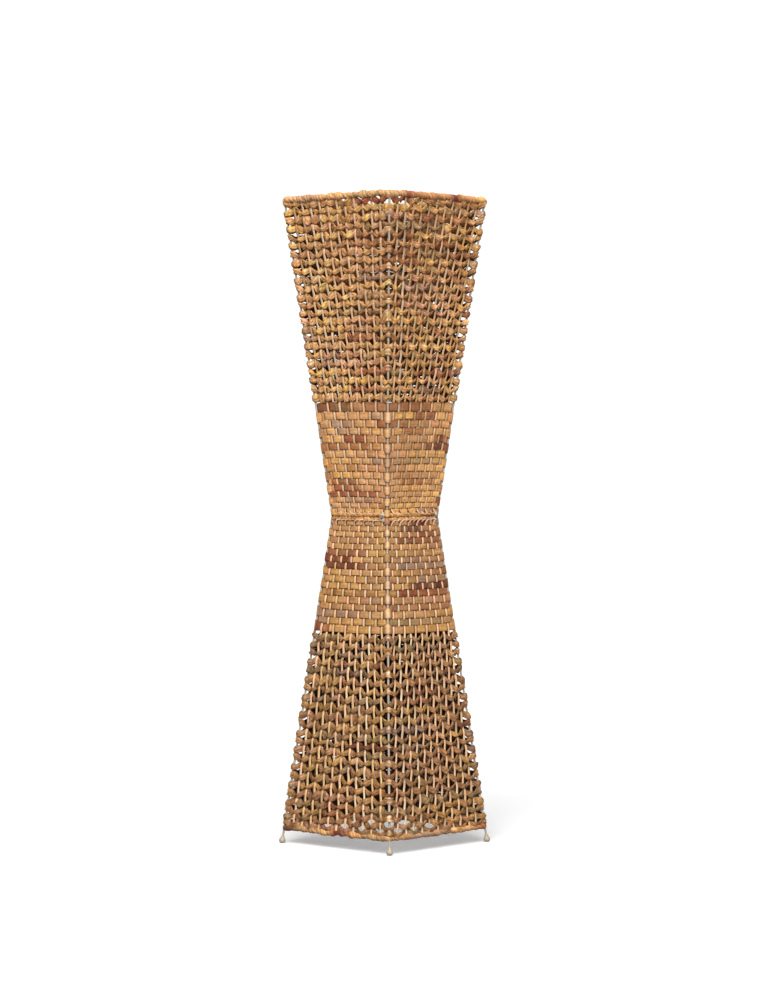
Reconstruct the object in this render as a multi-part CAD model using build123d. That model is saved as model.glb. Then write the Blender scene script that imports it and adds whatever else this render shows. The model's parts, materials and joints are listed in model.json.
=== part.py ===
from build123d import *
import math
import os

# Woven floor lamp: two square baskets on wire frames, joined at a narrow waist.
# Millimetres, +Z up. The origin is on the floor, at the centre of the four feet.
# The faces look along X and Y, so the corners lie on the diagonals.

# ---- Driving dimensions --------------------------------------------------------------

WIRE_R = 2.0                # radius of all the frame wire
RIM_Z = 1194.5              # height of the top rail
UPPER_WAIST_Z = 612.0
LOWER_WAIST_Z = 604.0
HEM_Z = 29.5                # height of the bottom rail
RIM_HALF = 131.5            # half of the square's side, at the wires
WAIST_HALF = 68.6
HEM_HALF = 132.2

FOOT_R = 6.0                # ball foot
FOOT_Z = 5.4                # its centre: the ball stands on a small flat
FOOT_NECK_R = 2.8           # the ball draws out into a short neck round the wire
FOOT_NECK_L = 8.6           # from the ball's centre to the top of the neck
FOOT_SHOULDER = 50.0        # degrees above the ball's middle where the neck begins

EDGE_WRAP_R = 5.5           # leaf strip wound round the rim and hem rails
WAIST_WRAP_R = 2.8          # thinner winding on the two waist rails
PANEL_T = 8.0               # depth of the woven wall
PANEL_GAP = 0.6             # clear space between a panel and a rail or post
SEAM_GAP = 0.5              # between the open and the close weave
UPPER_SEAM_Z = 820.0        # open weave above, close weave below
LOWER_SEAM_Z = 394.0        # close weave above, open weave below

STAKES_PER_FACE = 11        # upright sticks between two corner wires
STAKE_W = 4.0
STAKE_T = 1.6

TIE_W = 4.0                 # nylon ties that hold the two frames together
TIE_T = 1.0
TIE_INSET = 7.5             # from a corner wire to the middle of its tie

STRAP_W = 16.0              # flat bar across the waist that carries the lampholder
STRAP_T = 2.5
NIPPLE_R = 5.0              # M10 hollow threaded tube
NIPPLE_BORE_R = 3.6
NUT_FLATS = 14.0
NUT_H = 3.5
INLET_R = 3.0               # cable inlet, through the bush in the nipple

HOLDER_Z = 612.0            # underside of the lampholder, on the upper nut
SHELL_R = 17.1              # lampholder body
SHELL_TOP = 62.0            # all heights in the lampholder are above HOLDER_Z
SLEEVE_R = 16.1
BASE_R = 15.3
BASE_LOW = 12.0
BASE_TOP = 36.0
TERMINAL_Y = 13.0           # flats that the terminal screws sit on
SCREW_SHELL_R = 14.2        # E26 screw shell, with its thread left plain
SCREW_SHELL_BORE_R = 13.75
BULB_CAP_R = 13.45          # E26 lamp cap
BULB_TIP_Z = 40.3
BULB_CAP_Z = 46.0
BULB_NECK_Z = 68.0
BULB_SEAM_Z = 100.0
BULB_TOP_Z = 148.0
BULB_R = 30.0               # A19 bulb

SPINDLE_R = 2.0             # rotary switch on the side of the lampholder
SPINDLE_Z = 30.0
SPINDLE_BORE_R = 2.07       # running fit in the switch base
KNOB_X = 19.5
KNOB_L = 13.0

CORNERS = {"front": (1, -1), "right": (1, 1), "back": (-1, 1), "left": (-1, -1)}
BOTTOM_UP = (Align.CENTER, Align.CENTER, Align.MIN)


# ---- Shape helpers -------------------------------------------------------------------

def lower_half(z):
    """Half side of the lower basket's wires at height z."""
    return WAIST_HALF + (LOWER_WAIST_Z - z) * (HEM_HALF - WAIST_HALF) / (LOWER_WAIST_Z - HEM_Z)


def upper_half(z):
    """Half side of the upper basket's wires at height z."""
    return WAIST_HALF + (z - UPPER_WAIST_Z) * (RIM_HALF - WAIST_HALF) / (RIM_Z - UPPER_WAIST_Z)


def rod(start, end, radius):
    """A straight round bar between two points."""
    axis = Vector(*end) - Vector(*start)
    place = Plane(origin=start, z_dir=axis)
    return place * Cylinder(radius, axis.length, align=BOTTOM_UP)


def tube(outer_r, inner_r, low, high):
    """An upright tube on the Z axis."""
    ring = Circle(outer_r) - Circle(inner_r)
    return extrude(Plane.XY.offset(low) * ring, high - low)


def turned(profile):
    """A turned piece on the Z axis, from a closed outline of radius and height pairs."""
    outline = make_face(Plane.XZ * Polyline(*profile, close=True))
    return revolve(outline, Axis.Z)


def on_four_sides(piece):
    """Copies of a piece made for the -Y side, one on each side."""
    return [Rot(0, 0, turn) * piece for turn in (0, 90, 180, 270)]


def corner_point(corner, half, z):
    x_sign, y_sign = CORNERS[corner]
    return (x_sign * half(z), y_sign * half(z), z)


# ---- Wire frames ---------------------------------------------------------------------

def corner_wire(corner, half, low, high):
    return rod(corner_point(corner, half, low), corner_point(corner, half, high), WIRE_R)


def foot(corner):
    """Ball foot with a short neck, a blind hole for the wire and a small flat to stand on."""
    centre = corner_point(corner, lower_half, FOOT_Z)
    above = corner_point(corner, lower_half, FOOT_Z + 3 * FOOT_R)
    along_wire = Plane(origin=centre, z_dir=Vector(*above) - Vector(*centre))
    shoulder = FOOT_R * math.sin(math.radians(FOOT_SHOULDER))
    neck_foot = FOOT_R * math.cos(math.radians(FOOT_SHOULDER))
    neck = Cone(neck_foot, FOOT_NECK_R, FOOT_NECK_L - shoulder, align=BOTTOM_UP)
    ball = Pos(*centre) * Sphere(FOOT_R) + along_wire * Pos(0, 0, shoulder) * neck
    hole = rod(centre, above, WIRE_R)
    under_floor = Pos(centre[0], centre[1], 0) * Box(
        4 * FOOT_R, 4 * FOOT_R, FOOT_R, align=(Align.CENTER, Align.CENTER, Align.MAX))
    return ball - hole - under_floor


def rails(half, z, corner_wires):
    """Four straight rails, their ends shaped to the corner wires that they are welded to."""
    side = half(z)
    bar = rod((-side, -side, z), (side, -side, z), WIRE_R)
    return [side_bar - corner_wires for side_bar in on_four_sides(bar)]


# ---- Woven walls ---------------------------------------------------------------------

def panels(half, low, high):
    """Four flat woven walls that stop just short of the corner wires."""
    sections = []
    for z in (low, high):
        side = half(z)
        outer_x = side - WIRE_R - PANEL_GAP
        inner_x = side - PANEL_T / 2 - PANEL_GAP / 2
        outer_y = -side - PANEL_T / 2
        inner_y = -side + PANEL_T / 2
        outline = Polyline((-outer_x, outer_y), (outer_x, outer_y),
                           (inner_x, inner_y), (-inner_x, inner_y), close=True)
        sections.append(Plane.XY.offset(z) * make_face(outline))
    return on_four_sides(loft(sections, ruled=True))


def stakes(half, low, high):
    """The upright sticks that the strips are woven round, fanned out from the waist."""
    sticks = []
    for number in range(1, STAKES_PER_FACE + 1):
        share = 2 * number / (STAKES_PER_FACE + 1) - 1
        sections = []
        for z in (low, high):
            y = -half(z) + PANEL_T / 2 + STAKE_T / 2 + 0.1
            sections.append(Pos(share * half(z), y, z) * Rectangle(STAKE_W, STAKE_T))
        sticks += on_four_sides(loft(sections, ruled=True))
    return sticks


def windings(half, z, radius, middle_gap=0.0):
    """Leaf strip wound round each rail, as tubes that clear each other at the corners."""
    end_x = half(z) - radius - PANEL_GAP / 2
    side = half(z)
    whole = rod((-end_x, -side, z), (end_x, -side, z), radius)
    whole -= rod((-side, -side, z), (side, -side, z), WIRE_R)
    tubes = on_four_sides(whole)
    if middle_gap:
        opening = Box(middle_gap, 4 * WAIST_HALF, 4 * radius)
        parted = Pos(0, 0, z) * opening
        tubes = [piece for whole_tube in tubes for piece in (whole_tube - parted).solids()]
    return tubes


def waist_ties():
    """A nylon band round both waist rails, beside each corner."""
    spacing = UPPER_WAIST_Z - LOWER_WAIST_Z
    inner_r = WAIST_WRAP_R + 0.1
    outer_r = inner_r + TIE_T
    band = SlotCenterToCenter(spacing, 2 * outer_r) - SlotCenterToCenter(spacing, 2 * inner_r)
    across_rails = Plane(origin=(WAIST_HALF - TIE_INSET - TIE_W / 2, -WAIST_HALF,
                                 (UPPER_WAIST_Z + LOWER_WAIST_Z) / 2),
                         x_dir=(0, 0, 1), z_dir=(1, 0, 0))
    return on_four_sides(extrude(across_rails * band, TIE_W))


# ---- Lampholder, on the Z axis -------------------------------------------------------

def strap():
    bottom = LOWER_WAIST_Z + WIRE_R
    bar = Pos(0, 0, bottom) * Box(STRAP_W, 2 * WAIST_HALF, STRAP_T, align=BOTTOM_UP)
    return bar - Pos(0, 0, bottom) * Cylinder(NIPPLE_R, STRAP_T, align=BOTTOM_UP)


def nipple():
    return tube(NIPPLE_R, NIPPLE_BORE_R, LOWER_WAIST_Z - 12, HOLDER_Z + 8)


def nut(z):
    across_corners = NUT_FLATS / math.cos(math.pi / 6)
    outline = RegularPolygon(across_corners / 2, 6) - Circle(NIPPLE_R)
    return extrude(Plane.XY.offset(z) * outline, NUT_H)


def cable_bush():
    """Flanged plastic bush pushed into the nipple: the cable comes in through it."""
    mouth = LOWER_WAIST_Z - 12
    return turned([(INLET_R, mouth - 2.5), (NIPPLE_R + 1.5, mouth - 2.5), (NIPPLE_R + 1.5, mouth),
                   (NIPPLE_BORE_R, mouth), (NIPPLE_BORE_R, mouth + 8), (INLET_R, mouth + 8)])


def holder_cap():
    """Domed metal cap with the hub that screws on to the nipple."""
    outline = [(NIPPLE_R, 0), (8, 0), (8, 4.5), (13.5, 7), (16.8, 10.8), (18.2, 15), (18.2, 20),
               (SHELL_R, 20), (SHELL_R, 15.2), (15.9, 11.6), (12.9, 8.2), (8, 6), (8, 8),
               (NIPPLE_R, 8)]
    return Pos(0, 0, HOLDER_Z) * turned(outline)


def spindle_hole(radius, start, end):
    z = HOLDER_Z + SPINDLE_Z
    return rod((start, 0, z), (end, 0, z), radius)


def holder_shell():
    """Metal body with a rolled lip."""
    body = tube(SHELL_R, SHELL_R - 0.8, 16, SHELL_TOP)
    lip = tube(SHELL_R + 0.9, SHELL_R, SHELL_TOP - 1.8, SHELL_TOP)
    return Pos(0, 0, HOLDER_Z) * (body + lip) - spindle_hole(SPINDLE_R + 1, 10, 25)


def insulating_sleeve():
    sleeve = tube(SLEEVE_R, SLEEVE_R - 0.5, 18, SHELL_TOP - 2)
    return Pos(0, 0, HOLDER_Z) * sleeve - spindle_hole(SPINDLE_R + 1.5, 10, 25)


def terminal_screw(side):
    """Slotted screw that clamps a conductor against the flat on the switch base."""
    face = (0, side * TERMINAL_Y, HOLDER_Z + 22)
    head = rod(face, (0, side * (TERMINAL_Y + 1.8), HOLDER_Z + 22), 3.2)
    shank = rod(face, (0, side * (TERMINAL_Y - 6), HOLDER_Z + 22), 1.5)
    slot = Pos(0, side * (TERMINAL_Y + 1.8), HOLDER_Z + 22) * Box(7, 1.4, 0.8)
    return head + shank - slot


def switch_base(screws):
    """Phenolic block that carries the contacts and the switch spindle."""
    block = Pos(0, 0, BASE_LOW) * Cylinder(BASE_R, BASE_TOP - BASE_LOW, align=BOTTOM_UP)
    for side in (-1, 1):
        block -= Pos(0, side * (TERMINAL_Y + 5), 22) * Box(40, 10, 12)
    placed = Pos(0, 0, HOLDER_Z) * block
    return placed - spindle_hole(SPINDLE_BORE_R, 4, 20) - screws


def screw_shell():
    """Threaded metal shell that the bulb screws into."""
    outline = [(6, BASE_TOP), (SCREW_SHELL_R, BASE_TOP), (SCREW_SHELL_R, SHELL_TOP - 2),
               (SCREW_SHELL_BORE_R, SHELL_TOP - 2), (SCREW_SHELL_BORE_R, BASE_TOP + 0.5),
               (6, BASE_TOP + 0.5)]
    return Pos(0, 0, HOLDER_Z) * turned(outline)


def centre_contact():
    """Springy brass tongue under the tip of the bulb."""
    top = BULB_TIP_Z
    outline = Polyline((-4.5, BASE_TOP), (2, BASE_TOP), (4.5, top - 1.5), (2.5, top), (-1.5, top),
                       (-1.5, top - 0.5), (2.2, top - 0.5), (3.6, top - 1.6), (1.7, BASE_TOP + 0.5),
                       (-4.5, BASE_TOP + 0.5), close=True)
    strip = extrude(Plane.XZ * make_face(outline), 2.5, both=True)
    return Pos(0, 0, HOLDER_Z) * strip


# ---- Rotary switch -------------------------------------------------------------------

def switch_spindle():
    z = HOLDER_Z + SPINDLE_Z
    return rod((5, 0, z), (KNOB_X + 8, 0, z), SPINDLE_R)


def switch_knob(spindle):
    """Flat thumb key on a round boss."""
    z = HOLDER_Z + SPINDLE_Z
    boss = rod((KNOB_X, 0, z), (KNOB_X + 5, 0, z), 5)
    key = Pos(KNOB_X + 2 + (KNOB_L - 2) / 2, 0, z) * Box(KNOB_L - 2, 14, 5)
    key = fillet(key.edges().filter_by(Axis.X), 2.2)
    return boss + key - spindle


# ---- Bulb ----------------------------------------------------------------------------

def bulb_tip():
    return Pos(0, 0, HOLDER_Z) * turned([(0, BULB_TIP_Z), (3, BULB_TIP_Z), (4.2, BULB_TIP_Z + 0.8),
                                         (4.2, BULB_TIP_Z + 1.5), (0, BULB_TIP_Z + 1.5)])


def bulb_insulator():
    low = BULB_TIP_Z + 1.5
    return Pos(0, 0, HOLDER_Z) * turned([(0, low), (5, low), (11.5, BULB_CAP_Z), (0, BULB_CAP_Z)])


def bulb_cap():
    """Metal screw cap, closed at the bottom round the insulator."""
    return Pos(0, 0, HOLDER_Z) * turned([
        (0, BULB_CAP_Z), (11.8, BULB_CAP_Z), (BULB_CAP_R, BULB_CAP_Z + 2),
        (BULB_CAP_R, BULB_NECK_Z), (BULB_CAP_R - 0.4, BULB_NECK_Z),
        (BULB_CAP_R - 0.4, BULB_CAP_Z + 2.4), (11.4, BULB_CAP_Z + 0.6), (0, BULB_CAP_Z + 0.6)])


def bulb_housing():
    """White plastic shell that flares from the cap up to the light-giving dome."""
    neck_r = BULB_CAP_R - 0.4
    wall = 1.5
    outline = [(neck_r, BULB_NECK_Z - 10), (neck_r, BULB_NECK_Z), (BULB_CAP_R + 0.8, BULB_NECK_Z),
               (17, 76), (23, 87), (BULB_R - 1, BULB_SEAM_Z), (BULB_R - 1 - wall, BULB_SEAM_Z),
               (23 - wall, 87.8), (17 - wall, 76.8), (neck_r - wall, BULB_NECK_Z + 1),
               (neck_r - wall, BULB_NECK_Z - 10)]
    return Pos(0, 0, HOLDER_Z) * turned(outline)


def led_board():
    return Pos(0, 0, HOLDER_Z + BULB_SEAM_Z) * Cylinder(25, 1.6, align=BOTTOM_UP)


def bulb_dome():
    """Opal dome, a hollow shell closed over the board."""
    centre = BULB_TOP_Z - BULB_R
    wall = 1.4

    def dome(radius):
        arc = Line((radius - 1, BULB_SEAM_Z), (radius, centre))
        arc += CenterArc((0, centre), radius, 0, 90)
        arc += Polyline((0, centre + radius), (0, BULB_SEAM_Z), (radius - 1, BULB_SEAM_Z))
        return revolve(make_face(Plane.XZ * arc), Axis.Z)

    return Pos(0, 0, HOLDER_Z) * (dome(BULB_R) - dome(BULB_R - wall))


# ---- The lamp ------------------------------------------------------------------------

def build():
    """Every piece of the lamp, by name."""
    parts = {}
    legs = []
    posts = []
    for corner in CORNERS:
        leg = corner_wire(corner, lower_half, FOOT_Z, LOWER_WAIST_Z + WIRE_R)
        post = corner_wire(corner, upper_half, UPPER_WAIST_Z - WIRE_R, RIM_Z + WIRE_R)
        legs.append(leg)
        posts.append(post)
        parts[f"leg_{corner}"] = leg
        parts[f"post_{corner}"] = post
        parts[f"foot_{corner}"] = foot(corner)

    parts["hem_rails"] = rails(lower_half, HEM_Z, legs)
    parts["lower_waist_rails"] = rails(lower_half, LOWER_WAIST_Z, legs)
    parts["upper_waist_rails"] = rails(upper_half, UPPER_WAIST_Z, posts)
    parts["rim_rails"] = rails(upper_half, RIM_Z, posts)
    parts["waist_ties"] = waist_ties()

    low = HEM_Z + EDGE_WRAP_R + PANEL_GAP
    waist_clear = WAIST_WRAP_R + TIE_T + PANEL_GAP
    lower_top = LOWER_WAIST_Z - waist_clear
    upper_low = UPPER_WAIST_Z + waist_clear
    high = RIM_Z - EDGE_WRAP_R - PANEL_GAP
    parts["lower_open_weave"] = panels(lower_half, low, LOWER_SEAM_Z)
    parts["lower_close_weave"] = panels(lower_half, LOWER_SEAM_Z + SEAM_GAP, lower_top)
    parts["upper_close_weave"] = panels(upper_half, upper_low, UPPER_SEAM_Z)
    parts["upper_open_weave"] = panels(upper_half, UPPER_SEAM_Z + SEAM_GAP, high)
    parts["lower_stakes"] = stakes(lower_half, low, lower_top)
    parts["upper_stakes"] = stakes(upper_half, upper_low, high)

    parts["hem_winding"] = windings(lower_half, HEM_Z, EDGE_WRAP_R)
    parts["lower_waist_winding"] = windings(lower_half, LOWER_WAIST_Z, WAIST_WRAP_R, STRAP_W + 4)
    parts["upper_waist_winding"] = windings(upper_half, UPPER_WAIST_Z, WAIST_WRAP_R)
    parts["rim_winding"] = windings(upper_half, RIM_Z, EDGE_WRAP_R)

    strap_bottom = LOWER_WAIST_Z + WIRE_R
    screws = [terminal_screw(-1), terminal_screw(1)]
    spindle = switch_spindle()
    parts["lamp_strap"] = strap()
    parts["nipple"] = nipple()
    parts["nipple_nuts"] = [nut(strap_bottom - NUT_H), nut(strap_bottom + STRAP_T)]
    parts["cable_bush"] = cable_bush()
    parts["holder_cap"] = holder_cap()
    parts["holder_shell"] = holder_shell()
    parts["insulating_sleeve"] = insulating_sleeve()
    parts["switch_base"] = switch_base(screws)
    parts["terminal_screws"] = screws
    parts["screw_shell"] = screw_shell()
    parts["centre_contact"] = centre_contact()
    parts["switch_spindle"] = spindle
    parts["switch_knob"] = switch_knob(spindle)
    parts["bulb_tip"] = bulb_tip()
    parts["bulb_insulator"] = bulb_insulator()
    parts["bulb_cap"] = bulb_cap()
    parts["bulb_housing"] = bulb_housing()
    parts["led_board"] = led_board()
    parts["bulb_dome"] = bulb_dome()
    return parts


def as_shape(piece):
    """One shape to export: a piece alone, or a group of like pieces together."""
    if isinstance(piece, list):
        return Compound([solid for member in piece for solid in member.solids()])
    return piece


os.makedirs("parts", exist_ok=True)
for name, piece in build().items():
    export_step(as_shape(piece), f"parts/{name}.step")
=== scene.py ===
"""Looks of the woven hourglass floor lamp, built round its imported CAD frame.

Everything is in metres. t counts stakes round the lamp, from 0 at the front corner wire:
12 to a face, 48 in all. "out" is distance outward from the plane of a wall.
"""
import json
import math

import bpy
import numpy as np
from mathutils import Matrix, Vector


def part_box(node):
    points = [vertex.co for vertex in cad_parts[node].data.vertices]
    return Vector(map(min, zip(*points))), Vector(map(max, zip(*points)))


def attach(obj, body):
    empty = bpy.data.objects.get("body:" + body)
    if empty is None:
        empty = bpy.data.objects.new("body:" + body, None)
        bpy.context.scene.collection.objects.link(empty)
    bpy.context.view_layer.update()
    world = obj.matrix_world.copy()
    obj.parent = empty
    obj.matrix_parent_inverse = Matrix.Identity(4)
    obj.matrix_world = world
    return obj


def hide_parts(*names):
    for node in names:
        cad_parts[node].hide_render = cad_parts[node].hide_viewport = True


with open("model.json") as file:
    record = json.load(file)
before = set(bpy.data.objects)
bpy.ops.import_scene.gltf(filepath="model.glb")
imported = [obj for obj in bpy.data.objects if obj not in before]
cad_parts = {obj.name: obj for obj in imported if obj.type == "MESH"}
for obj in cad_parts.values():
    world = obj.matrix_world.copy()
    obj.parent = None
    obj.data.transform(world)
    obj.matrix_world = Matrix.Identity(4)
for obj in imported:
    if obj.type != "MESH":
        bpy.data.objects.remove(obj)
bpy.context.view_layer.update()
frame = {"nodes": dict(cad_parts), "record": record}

MM = 0.001
WIRE_R = 2 * MM
PER_FACE = 12                    # stake spacings between two corner wires
ROUND = 4 * PER_FACE
FOLD = 6 * MM                    # how far from a corner wire a strip starts to bend round it
CORNERS = np.array([(1, -1), (1, 1), (-1, 1), (-1, -1)], float)
ALONG = np.array([(0, 1), (-1, 0), (0, -1), (1, 0)], float)      # face k runs from corner k to k + 1
OUTWARD = np.array([(1, 0), (0, 1), (-1, 0), (0, -1)], float)
UP = np.array([0, 0, 1.0])
NO_CORNER = -1                   # fills the fourth place of a triangle in a list of quads


# ---------------------------------------------------------------- the two baskets

def rail_level(node):
    """Height of a set of four rails, and their distance from the axis."""
    low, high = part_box(node)
    return (low.z + high.z) / 2, high.x - WIRE_R


class Basket:
    """One tapering basket: its waist end, its wide end, and the levels between."""

    def __init__(self, label, end_rails, close_tone, open_tone, fullness, back_fill):
        self.label = label
        self.waist_z, self.waist_half = rail_level(f"{label}_waist_rails")
        self.end_z, self.end_half = rail_level(end_rails)
        self.up = 1 if self.end_z > self.waist_z else -1
        self.close_span = self.span(f"{label}_close_weave")
        self.open_span = self.span(f"{label}_open_weave")
        self.close_tone = close_tone     # scale on the colours of the close weave
        self.open_tone = open_tone       # and that of the open weave
        self.fullness = fullness         # width of the open strips, 1 for strips that just touch
        self.back_fill = back_fill       # how much fuller the two back walls are, 0 to 1
        self.rows = []                   # (height, phase, stake push) of every row

    def span(self, node):
        """Near and far height of a panel, as seen from the waist."""
        low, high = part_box(node)
        return (low.z, high.z) if self.up > 0 else (high.z, low.z)

    def half(self, z):
        share = (z - self.waist_z) / (self.end_z - self.waist_z)
        return self.waist_half + share * (self.end_half - self.waist_half)


upper = Basket("upper", "rim_rails", close_tone=1.14, open_tone=1.04, fullness=1.20, back_fill=0.84)
lower = Basket("lower", "hem_rails", close_tone=0.77, open_tone=0.585, fullness=1.10, back_fill=0.94)


def on_square(t, half, fold=FOLD):
    """Points on a square of that half width with folded corners, and the outward directions."""
    t = np.asarray(t, float) % ROUND
    side = np.floor(t / PER_FACE)
    share = t / PER_FACE - side
    past = (share - (share >= 0.5)) * 2 * half
    corner = (side + (share >= 0.5)).astype(int) % 4
    corner = np.broadcast_to(corner, past.shape)
    before, after = ALONG[corner - 1], ALONG[corner]
    turn = np.clip((past + fold) / (2 * fold), 0, 1)[..., None]
    straight = np.where(past[..., None] < 0, before, after) * past[..., None]
    bent = fold * (after * turn ** 2 - before * (1 - turn) ** 2)
    offset = np.where((turn > 0) & (turn < 1), bent, straight)
    out = OUTWARD[corner - 1] * (1 - turn) + OUTWARD[corner] * turn
    out /= np.linalg.norm(out, axis=-1, keepdims=True)
    return CORNERS[corner] * np.asarray(half)[..., None] + offset, out


def wall_points(basket, t, z, out, fold=FOLD):
    """Points of a wall in 3-D, from stake count, height and distance outward."""
    flat, direction = on_square(t, basket.half(z), fold)
    flat = flat + direction * out[..., None]
    return np.concatenate([flat, z[..., None]], axis=-1)


def corner_distance(t):
    """Signed stake spacings to the nearest corner wire."""
    return (t + PER_FACE / 2) % PER_FACE - PER_FACE / 2


# ---------------------------------------------------------------- small tools

def wander(rng, t, slow, fast, terms=7):
    """A smooth random wave round the lamp, about 1 in size, that closes on itself."""
    total = np.zeros_like(t)
    for _ in range(terms):
        cycles = rng.integers(slow, fast + 1)
        total += np.sin(2 * np.pi * (cycles * t / ROUND + rng.random()))
    return total * math.sqrt(2 / terms)


def per_stake(rng, t, spread, sharp=False):
    """A random value at each stake, joined up round the lamp."""
    values = rng.normal(0, spread, ROUND)
    if sharp:
        return values[np.round(t).astype(int) % ROUND]
    low = np.floor(t).astype(int)
    share = t - low
    share = share * share * (3 - 2 * share)
    return values[low % ROUND] * (1 - share) + values[(low + 1) % ROUND] * share


def linear(rgb):
    """An sRGB colour of 0 to 255 as linear light."""
    c = np.asarray(rgb, float) / 255
    return np.where(c <= 0.04045, c / 12.92, ((c + 0.055) / 1.055) ** 2.4)


def grid_faces(rows, columns, close_rows):
    """Quads of a grid of closed rings, its last row joined to the first where asked."""
    i = np.arange(rows if close_rows else rows - 1)
    i, j = np.meshgrid(i, np.arange(columns), indexing="ij")
    i, j = i.ravel(), j.ravel()
    i2, j2 = (i + 1) % rows, (j + 1) % columns
    return np.stack([i * columns + j, i2 * columns + j, i2 * columns + j2, i * columns + j2], axis=1)


def turned_in(points, close_rows):
    """Whether the quads of a grid of closed rings face into the solid they wrap."""
    after = np.roll(points, -1, axis=0)
    middle = points.mean(axis=1, keepdims=True)
    ring = np.cross(points - middle, np.roll(points, -1, axis=1) - middle).sum(axis=1)
    along = (after - points).mean(axis=1)
    if not close_rows:
        ring, along = ring[:-1], along[:-1]
    return np.sum(ring * along) > 0


class Skin:
    """Collects grids of points into one mesh, with a colour and a fibre direction at every point."""

    def __init__(self):
        self.points, self.faces, self.colours, self.fibres, self.count = [], [], [], [], 0

    def grid(self, points, colour, fibre, close_rows=False, cap=False):
        """points is rows x columns x 3, and each row is a closed ring."""
        if turned_in(points, close_rows):
            shape = points.shape
            colour, fibre = np.broadcast_to(colour, shape), np.broadcast_to(fibre, shape)
            points, colour, fibre = points[:, ::-1], colour[:, ::-1], fibre[:, ::-1]
        rows, columns = points.shape[:2]
        flat = points.reshape(-1, 3)
        self.faces.append(grid_faces(rows, columns, close_rows) + self.count)
        self.points.append(flat)
        self.colours.append(np.broadcast_to(colour, points.shape).reshape(-1, 3))
        self.fibres.append(np.broadcast_to(fibre, points.shape).reshape(-1, 3))
        if cap:
            self._cap(points, colour, fibre)
        self.count = sum(len(p) for p in self.points)

    def _cap(self, points, colour, fibre):
        """Closes both ends of an open grid with a fan of triangles."""
        rows, columns = points.shape[:2]
        colour = np.broadcast_to(colour, points.shape)
        fibre = np.broadcast_to(fibre, points.shape)
        for row, turn in ((0, 1), (rows - 1, -1)):
            middle = self.count + rows * columns + (0 if row == 0 else 1)
            ring = self.count + row * columns + np.arange(columns)
            after = np.roll(ring, -1)
            ends = (ring, after) if turn > 0 else (after, ring)
            tips, blanks = np.full(columns, middle), np.full(columns, NO_CORNER)
            self.faces.append(np.stack([*ends, tips, blanks], axis=1))
            self.points.append(points[row].mean(axis=0)[None])
            self.colours.append(colour[row].mean(axis=0)[None])
            self.fibres.append(fibre[row].mean(axis=0)[None])

    def make(self, name, material):
        """The grids so far, as one object."""
        mesh = bpy.data.meshes.new(name)
        points = np.concatenate(self.points)
        faces = np.concatenate(self.faces)
        sizes = np.where(faces[:, 3] == NO_CORNER, 3, 4)
        corners = faces.ravel()
        corners = corners[corners != NO_CORNER]
        mesh.vertices.add(len(points))
        mesh.vertices.foreach_set("co", points.astype(np.float32).ravel())
        mesh.loops.add(len(corners))
        mesh.loops.foreach_set("vertex_index", corners.astype(np.int32))
        mesh.polygons.add(len(faces))
        starts = np.concatenate([[0], np.cumsum(sizes)[:-1]])
        mesh.polygons.foreach_set("loop_start", starts.astype(np.int32))
        mesh.update(calc_edges=True)
        mesh.polygons.foreach_set("use_smooth", np.ones(len(faces), bool))
        colours = np.concatenate(self.colours)
        rgba = np.concatenate([np.clip(colours, 0, 1), np.ones((len(colours), 1))], axis=1)
        # The colour at every point, with the painted shade and highlights of the piece multiplied in.
        layer = mesh.attributes.new("leaf_colour", "FLOAT_COLOR", "POINT")
        layer.data.foreach_set("color", rgba.astype(np.float32).ravel())
        layer = mesh.attributes.new("fibre", "FLOAT_VECTOR", "POINT")
        layer.data.foreach_set("vector", np.concatenate(self.fibres).astype(np.float32).ravel())
        mesh.validate()
        mesh.materials.append(material)
        piece = bpy.data.objects.new(name, mesh)
        bpy.context.scene.collection.objects.link(piece)
        return piece


def place(piece, body, slot, *nodes):
    """Says what a piece rides on and the plain solids it stands for, which it hides; the slot is not used."""
    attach(piece, body)
    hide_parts(*nodes)


# ---------------------------------------------------------------- leaf colours

STRAW, GOLDEN, TAN = (214, 172, 118), (222, 178, 110), (198, 152, 106)
PINK_TAN, BROWN, RED_BROWN = (206, 160, 124), (160, 108, 72), (152, 88, 58)
MAROON, OLIVE, GREY_TAN = (98, 52, 42), (178, 152, 108), (172, 144, 120)
TINT = np.array([1.0, 0.84, 0.76])
LEAF = [STRAW, GOLDEN, TAN, PINK_TAN, BROWN, RED_BROWN, MAROON, OLIVE, GREY_TAN]
# Shares of those colours, in the same order
OPEN_MIX = [0.31, 0.22, 0.22, 0.08, 0.05, 0.01, 0.00, 0.07, 0.04]
CLOSE_MIX = [0.28, 0.24, 0.20, 0.04, 0.10, 0.02, 0.00, 0.06, 0.06]
LOWER_MIX = [0.28, 0.18, 0.22, 0.08, 0.06, 0.01, 0.00, 0.12, 0.05]
RIM_MIX = [0.60, 0.16, 0.10, 0.00, 0.00, 0.00, 0.00, 0.08, 0.06]
STAKE_COLOURS = [(236, 200, 158), (240, 198, 164), (232, 212, 180), (222, 192, 142), (210, 170, 120)]
STAKE_MIX = [0.3, 0.2, 0.2, 0.2, 0.1]


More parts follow.
